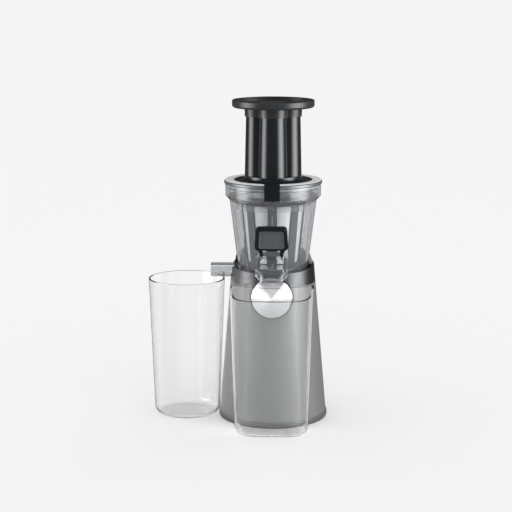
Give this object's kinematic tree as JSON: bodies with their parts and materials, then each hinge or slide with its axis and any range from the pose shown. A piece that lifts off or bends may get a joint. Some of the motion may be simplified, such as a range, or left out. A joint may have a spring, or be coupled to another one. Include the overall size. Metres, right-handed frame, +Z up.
{
  "type": "vertical slow juicer",
  "caption": "Vertical slow juicer: tapered motor base, clear bowl with strainer and auger, lobed feed tube, food tray, juice jug and pulp container.",
  "frame": {"origin": "on the table plane, on the auger's axis", "axes": "+X towards the user's right, -Y faces the user, +Z up along the auger's axis"},
  "size_m": [0.2418, 0.196, 0.4292],
  "materials": {
    "auger_plastic": "satin",
    "black_gloss": "gloss",
    "black_rubber": "matte",
    "board": "satin",
    "bronze": "satin",
    "brushed_band": "brushed",
    "chrome_dial": "polished",
    "clear_plastic": "clear",
    "dark_plastic": "satin",
    "die_cast": "satin",
    "gear_plastic": "satin",
    "grey_silicone": "matte",
    "motor_iron": "satin",
    "rotor_steel": "satin",
    "silver_plastic": "satin metallic",
    "silver_ring": "gloss metallic",
    "smoky_clear": "clear smoky",
    "steel": "satin",
    "strainer_steel": "perforated",
    "tray_plastic": "gloss",
    "white_silicone": "matte"
  },
  "bodies": {
    "base": {"foot_ring": "dark_plastic", "rubber_feet": "black_rubber", "bottom_plate": "dark_plastic", "bottom_screws": "steel", "base_housing": "silver_plastic", "base_collar": "brushed_band", "bowl_cradle": "black_gloss", "cord_gland": "black_rubber", "control_board": "board", "motor_case": "motor_iron", "motor_bearings": "steel", "gearbox_plate": "die_cast", "gearbox_cover": "dark_plastic", "gearbox_screws": "steel", "idler_axle": "steel", "output_bearing": "steel", "deck_bush": "bronze", "shaft_seal": "black_rubber", "dial_bezel": "dark_plastic", "rotary_switch": "dark_plastic"},
    "rotor": {"motor_rotor": "rotor_steel"},
    "idler": {"idler_gear": "gear_plastic"},
    "shaft": {"drive_shaft": "rotor_steel"},
    "dial": {"control_dial": "chrome_dial"},
    "bowl_unit": {"bowl": "smoky_clear", "bowl_seal": "grey_silicone", "chute_seal": "black_rubber", "spout_comb": "grey_silicone", "hinge_pin": "steel", "strainer_frame": "black_gloss", "strainer_mesh": "strainer_steel"},
    "cap": {"cap_frame": "black_gloss", "cap_seal": "grey_silicone"},
    "brush_gear": {"brush_pinion": "gear_plastic"},
    "brush": {"brush_frame": "smoky_clear", "brush_wipers": "white_silicone"},
    "auger_body": {"auger": "auger_plastic"},
    "lid": {"lid_plate": "black_gloss", "lid_ring": "silver_ring", "lid_gasket": "grey_silicone", "auger_bush": "white_silicone"},
    "tray": {"feed_tray": "tray_plastic"},
    "jug": {"juice_jug": "clear_plastic"},
    "pulp_cup": {"pulp_container": "clear_plastic"}
  },
  "joints": [
    {"name": "rotor_spin", "type": "hinge", "parent": "base", "child": "rotor", "pos_m": [0, 0, 0.1], "axis": [0, 0, 1], "continuous": true},
    {"name": "idler_spin", "type": "hinge", "parent": "base", "child": "idler", "pos_m": [0, 0.027, 0.15], "axis": [0, 0, 1], "continuous": true},
    {"name": "shaft_spin", "type": "hinge", "parent": "base", "child": "shaft", "pos_m": [0, 0, 0.17], "axis": [0, 0, 1], "continuous": true},
    {"name": "dial_turn", "type": "hinge", "parent": "base", "child": "dial", "pos_m": [0, -0.05615, 0.176], "axis": [0, -0.9992, 0.0398], "range_deg": [-45, 45]},
    {"name": "bowl_lift", "type": "slide", "parent": "base", "child": "bowl_unit", "axis": [0, 0, 1], "range_m": [0, 0.06]},
    {"name": "cap_hinge", "type": "hinge", "parent": "bowl_unit", "child": "cap", "pos_m": [0, -0.0894, 0.2392], "axis": [1, 0, 0], "range_deg": [0, 180]},
    {"name": "brush_gear_spin", "type": "hinge", "parent": "bowl_unit", "child": "brush_gear", "pos_m": [0, 0.021, 0.205], "axis": [0, 0, 1], "continuous": true},
    {"name": "brush_spin", "type": "hinge", "parent": "bowl_unit", "child": "brush", "pos_m": [0, 0, 0.25], "axis": [0, 0, 1], "continuous": true},
    {"name": "auger_spin", "type": "hinge", "parent": "bowl_unit", "child": "auger_body", "pos_m": [0, 0, 0.25], "axis": [0, 0, 1], "continuous": true},
    {"name": "lid_lift", "type": "slide", "parent": "bowl_unit", "child": "lid", "axis": [0, 0, 1], "range_m": [0, 0.04]},
    {"name": "tray_lift", "type": "slide", "parent": "lid", "child": "tray", "axis": [0, 0, 1], "range_m": [0, 0.04]},
    {"name": "jug_slide", "type": "slide", "parent": "base", "child": "jug", "axis": [0, -1, 0], "range_m": [0, 0.12]},
    {"name": "pulp_slide", "type": "slide", "parent": "base", "child": "pulp_cup", "axis": [-1, 0, 0], "range_m": [0, 0.12]}
  ],
  "couplings": [
    {"joint": "idler_spin", "follows": "rotor_spin", "ratio": -0.25},
    {"joint": "shaft_spin", "follows": "rotor_spin", "ratio": 0.076087},
    {"joint": "auger_spin", "follows": "rotor_spin", "ratio": 0.076087},
    {"joint": "brush_gear_spin", "follows": "rotor_spin", "ratio": -0.10145},
    {"joint": "brush_spin", "follows": "rotor_spin", "ratio": -0.030435}
  ]
}
